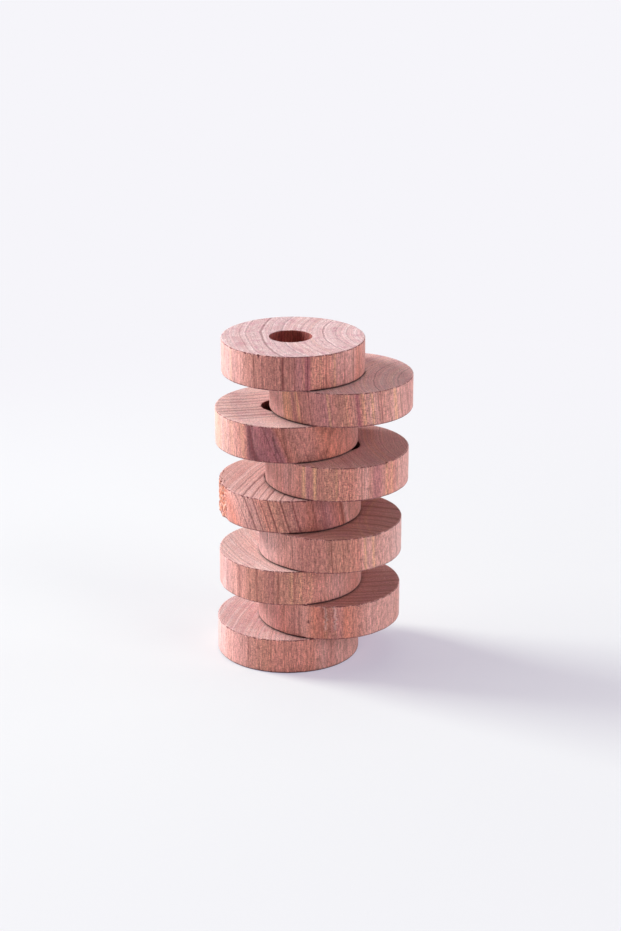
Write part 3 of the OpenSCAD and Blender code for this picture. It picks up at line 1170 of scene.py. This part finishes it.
def shade(wood):
    tree, cut = wood.tree, wood.cut
    value = SHADE_BASE
    marks = [(wood.fine, FINE_SHADE), (wood.fibre, FIBRE_SHADE), (wood.speck, SPECK_SHADE)]
    for noise, strength in marks:
        value = add(tree, "ShaderNodeMath", {0: noise, 1: strength, 2: value},
                    operation="MULTIPLY_ADD")[0]
    value = add(tree, "ShaderNodeClamp", {0: value, 1: DARKEST, 2: LIGHTEST})[0]
    # painted shade: darker where wood lies close in front, in seams, corners and the hole
    open_sky = add(tree, "ShaderNodeAmbientOcclusion", {"Distance": SEAM_REACH * MM}, samples=8)["AO"]
    seam = add(tree, "ShaderNodeMapRange", {0: open_sky, 1: 0.3, 2: 0.68, 3: SEAM_SHADE, 4: 1.0})[0]
    value = add(tree, "ShaderNodeMath", {0: value, 1: seam}, operation="MULTIPLY")[0]
    # painted shade: richer colour on the rim, and on the tops whose recipe raises it
    rich = add(tree, "ShaderNodeMapRange", {0: wood.end, 3: RIM_SHADE_RICHNESS, 4: cut.get("rich", 1.0)})[0]
    wood.colour = add(tree, "ShaderNodeHueSaturation",
                      {"Hue": HUE, "Value": value, "Saturation": rich, "Color": wood.colour})[0]


print("a seam keeps", SEAM_SHADE, "of its colour's value")

# %% [markdown]
# ## The surface
# Bare wood is a rough dielectric: an IOR of 1.5 and a roughness of 0.6 to 0.8, higher where
# the fibres stand up, with weak highlights and a trace of sheen from the fuzz. Growth lines
# and dark flecks lie up to 0.2 mm lower than the fibres, which the bump shows.

# %% Bump, gloss and output
LINE_DEPTH = 0.6  # how deep a line lies, when fibres stand 1.0 high
RELIEF = 0.2


def surface(wood):
    tree = wood.tree
    relief = add(tree, "ShaderNodeMath", {0: wood.drawn, 1: -LINE_DEPTH, 2: wood.fibre},
                 operation="MULTIPLY_ADD")[0]
    relief = add(tree, "ShaderNodeMath", {0: wood.ray, 1: wood.zone, 2: relief},
                 operation="MULTIPLY_ADD")[0]
    bump = add(tree, "ShaderNodeBump", {"Strength": 0.8, "Distance": RELIEF * MM, "Height": relief})[0]
    dull = add(tree, "ShaderNodeMapRange", {0: wood.fibre, 1: 0.3, 2: 0.7, 3: 0.6, 4: 0.78})[0]
    bare = add(tree, "ShaderNodeBsdfPrincipled",
               {"Base Color": wood.colour, "Roughness": dull, "IOR": 1.5, "Specular IOR Level": 0.3,
                "Sheen Weight": 0.08, "Sheen Roughness": 0.5, "Normal": bump})[0]
    add(tree, "ShaderNodeOutputMaterial", {"Surface": bare})


print("bump of up to", RELIEF, "mm")


# %% The cedar material
def cedar(k):
    material = bpy.data.materials.new(f"turned_red_cedar_{k}")
    material.use_nodes = True
    material.node_tree.nodes.clear()
    wood = SimpleNamespace(tree=material.node_tree, cut=CUTS[k], radius=SIZES[k]["radius"])
    locate(wood)
    grow(wood)
    paint_layers(wood)
    squiggles(wood)
    fibres(wood)
    rays(wood)
    sides(wood)
    end_grain(wood)
    if k in TORN:
        torn_patch(wood, k)
    colour_of_wood(wood)
    draw_lines(wood)
    corner_wear_and_painted_light(wood, k)
    paint_hole_shade(wood, k)
    shade(wood)
    surface(wood)
    return material


for k, piece in slices.items():
    piece.data.materials.append(cedar(k))
print("cedar nodes in one slice:", len(slices[9].data.materials[0].node_tree.nodes))

# %% [markdown]
# ## Put the slices in the CAD's place
# Each slice stands for its own CAD node and moves with that node's body.

# %% Ride with the CAD bodies
for k, piece in slices.items():
    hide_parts(f"ring_{k}")
    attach(piece, f"ring_{k}")
print("riding:", [p.name for p in slices.values()])

# %% [markdown]
# ## The white table
# The stack stands on a sheet of pressed white card, which gives the eye an even, matt white
# with no highlight, and runs far out of the picture. The light
# that it throws back on the wood is that of real card, while the camera sees it almost
# white, so the Is Camera Ray switch picks between the two.
# What the camera sees is a greyer card with a painted glow added: a lilac one at the stack,
# which lifts the cast shadow and tints it lilac, and further out a near white one that takes
# over from the card, so that the sheet goes over into the backdrop without an edge.

# %% A round sheet of card
SHEET_STEPS = 96
SHEET_RINGS = [0.15, 0.4, 1.0, 3.0]  # metres from the middle
SHEET_MIDDLE = 0.01


def sheet_mesh():
    turns = [2 * math.pi * i / SHEET_STEPS for i in range(SHEET_STEPS)]
    verts = [(SHEET_MIDDLE, 0.0, 0.0)]
    for far in SHEET_RINGS:
        verts += [(SHEET_MIDDLE + far * math.cos(t), far * math.sin(t), 0.0) for t in turns]
    following = [(i + 1) % SHEET_STEPS for i in range(SHEET_STEPS)]
    faces = [(0, 1 + i, 1 + following[i]) for i in range(SHEET_STEPS)]
    for ring in range(len(SHEET_RINGS) - 1):
        a, b = 1 + ring * SHEET_STEPS, 1 + (ring + 1) * SHEET_STEPS
        faces += [(a + i, b + i, b + following[i], a + following[i]) for i in range(SHEET_STEPS)]
    mesh = bpy.data.meshes.new("white_table")
    mesh.from_pydata(verts, [], faces)
    return mesh


table = bpy.data.objects.new("white_table", sheet_mesh())
bpy.context.scene.collection.objects.link(table)
print("the table reaches", SHEET_RINGS[-1], "m out with", len(table.data.polygons), "faces")

# %% Matt white card
TOOTH_PER_M = 900.0  # paper fibres in clumps 1.1 mm across, coarser than real ones, to show
TOOTH = 0.02  # mm that they stand up
GLOW_FROM, GLOW_FULL = 0.03, 0.36  # metres from the stack

card = bpy.data.materials.new("white_card")
card.use_nodes = True
tree = card.node_tree
tree.nodes.clear()
seen = add(tree, "ShaderNodeLightPath")["Is Camera Ray"]
place = add(tree, "ShaderNodeTexCoord")["Object"]
tooth = add(tree, "ShaderNodeTexNoise", {"Vector": place, "Scale": TOOTH_PER_M, "Detail": 2.0})[0]
white = add(tree, "ShaderNodeMix", {0: seen, 6: linear("#F3F3F3"), 7: linear("#AAAFA3")},
            data_type="RGBA")[2]
far = add(tree, "ShaderNodeVectorMath", {0: place}, operation="LENGTH")["Value"]
far = add(tree, "ShaderNodeMapRange", {0: far, 1: GLOW_FROM, 2: GLOW_FULL},
          interpolation_type="SMOOTHSTEP")[0]
# painted light: a lilac glow at the stack lifts the shadow, a near white one further out
lift = add(tree, "ShaderNodeMix", {0: far, 6: linear("#A39BB0"), 7: linear("#F6F5FA")},
           data_type="RGBA")[2]
glow = add(tree, "ShaderNodeEmission", {"Color": lift})[0]
bump = add(tree, "ShaderNodeBump", {"Strength": 0.2, "Distance": TOOTH * MM, "Height": tooth})[0]
dull = add(tree, "ShaderNodeMapRange", {0: tooth, 3: 0.85, 4: 0.95})[0]
paper = add(tree, "ShaderNodeBsdfPrincipled", {"Base Color": white, "Roughness": dull, "IOR": 1.45,
            "Specular IOR Level": 0.2, "Normal": bump})[0]
black = add(tree, "ShaderNodeEmission", {"Color": (0, 0, 0, 1)})[0]
thin = add(tree, "ShaderNodeMixShader", {0: far, 1: paper, 2: black})[0]
lit = add(tree, "ShaderNodeAddShader", {0: thin, 1: glow})[0]
both = add(tree, "ShaderNodeMixShader", {0: seen, 1: paper, 2: lit})[0]
add(tree, "ShaderNodeOutputMaterial", {"Surface": both})
table.data.materials.append(card)
print("the glow takes over between", GLOW_FROM, "and", GLOW_FULL, "m")

# %% [markdown]
# ## Light
# The shadow on the table tells where the lamp is: it falls to the right and a little
# towards the camera, so one strong soft lamp hangs behind the stack on the left, 29 degrees
# up. Its width makes the soft border of that shadow. Four weak lamps do what white walls
# would: one beside it, one overhead, one low on the right and one in front on the right.
# The room gives the rest of the light from all around.

# %% Lamps
STACK = Vector((0.007, 0.0, 0.05))
LAMP_DISTANCE = 2.0


def softbox(name, azimuth, elevation, width, watts, colour):
    light = bpy.data.lights.new(name, "AREA")
    light.shape = "SQUARE"
    light.size = width
    light.energy = watts
    light.color = linear(colour)[:3]
    lamp = bpy.data.objects.new(name, light)
    a, e = math.radians(azimuth), math.radians(elevation)
    way = Vector((math.cos(a) * math.cos(e), math.sin(a) * math.cos(e), math.sin(e)))
    lamp.location = STACK + way * LAMP_DISTANCE
    lamp.rotation_euler = way.to_track_quat("Z", "Y").to_euler()
    bpy.context.scene.collection.objects.link(lamp)
    return lamp


lamps = [
    softbox("key_softbox", 156, 29, 0.7, 60.0, "#FBFFFF"),
    softbox("left_fill", 172, 30, 1.3, 11.0, "#FFFFFF"),
    softbox("overhead_softbox", 90, 70, 1.3, 7.0, "#FFFFFF"),
    softbox("right_fill", 10, 9, 0.9, 13.0, "#FFFFFF"),
    softbox("front_fill", 325, 35, 0.9, 11.0, "#FFFFFF"),
]
print("lamps:", [lamp.name for lamp in lamps])

# %% Room
ROOM_LIGHT = 0.21

world = bpy.data.worlds.new("pale_room")
bpy.context.scene.world = world
world.use_nodes = True
tree = world.node_tree
tree.nodes.clear()
seen = add(tree, "ShaderNodeLightPath")["Is Camera Ray"]
room = add(tree, "ShaderNodeBackground", {"Color": linear("#FBF8FF"), "Strength": ROOM_LIGHT})[0]
clear = add(tree, "ShaderNodeBackground", {"Color": linear("#FBFBFD"), "Strength": 1.0})[0]
both = add(tree, "ShaderNodeMixShader", {0: seen, 1: room, 2: clear})[0]
add(tree, "ShaderNodeOutputWorld", {"Surface": both})
print("the room gives", ROOM_LIGHT, "of a white sky's light")

# %% [markdown]
# ## Camera
# A long lens from 0.73 m away, 19 degrees above the table, keeps the nine slices nearly
# the same width.

# %% Camera
AIM = Vector((7.12, 2.65, 60.1)) * MM
TILT = math.radians(19.48)
CAMERA_DISTANCE = 0.725

camera = bpy.data.objects.new("camera", bpy.data.cameras.new("camera"))
camera.location = AIM + Vector((0, -math.cos(TILT), math.sin(TILT))) * CAMERA_DISTANCE
camera.rotation_euler = (math.pi / 2 - TILT, 0, 0)
camera.data.sensor_width = 36
camera.data.lens = 89.25
camera.data.clip_start = 0.05
camera.data.clip_end = 20
bpy.context.scene.collection.objects.link(camera)
bpy.context.scene.camera = camera
bpy.context.scene.view_settings.view_transform = "Standard"
print("camera at", [round(c, 4) for c in camera.location])
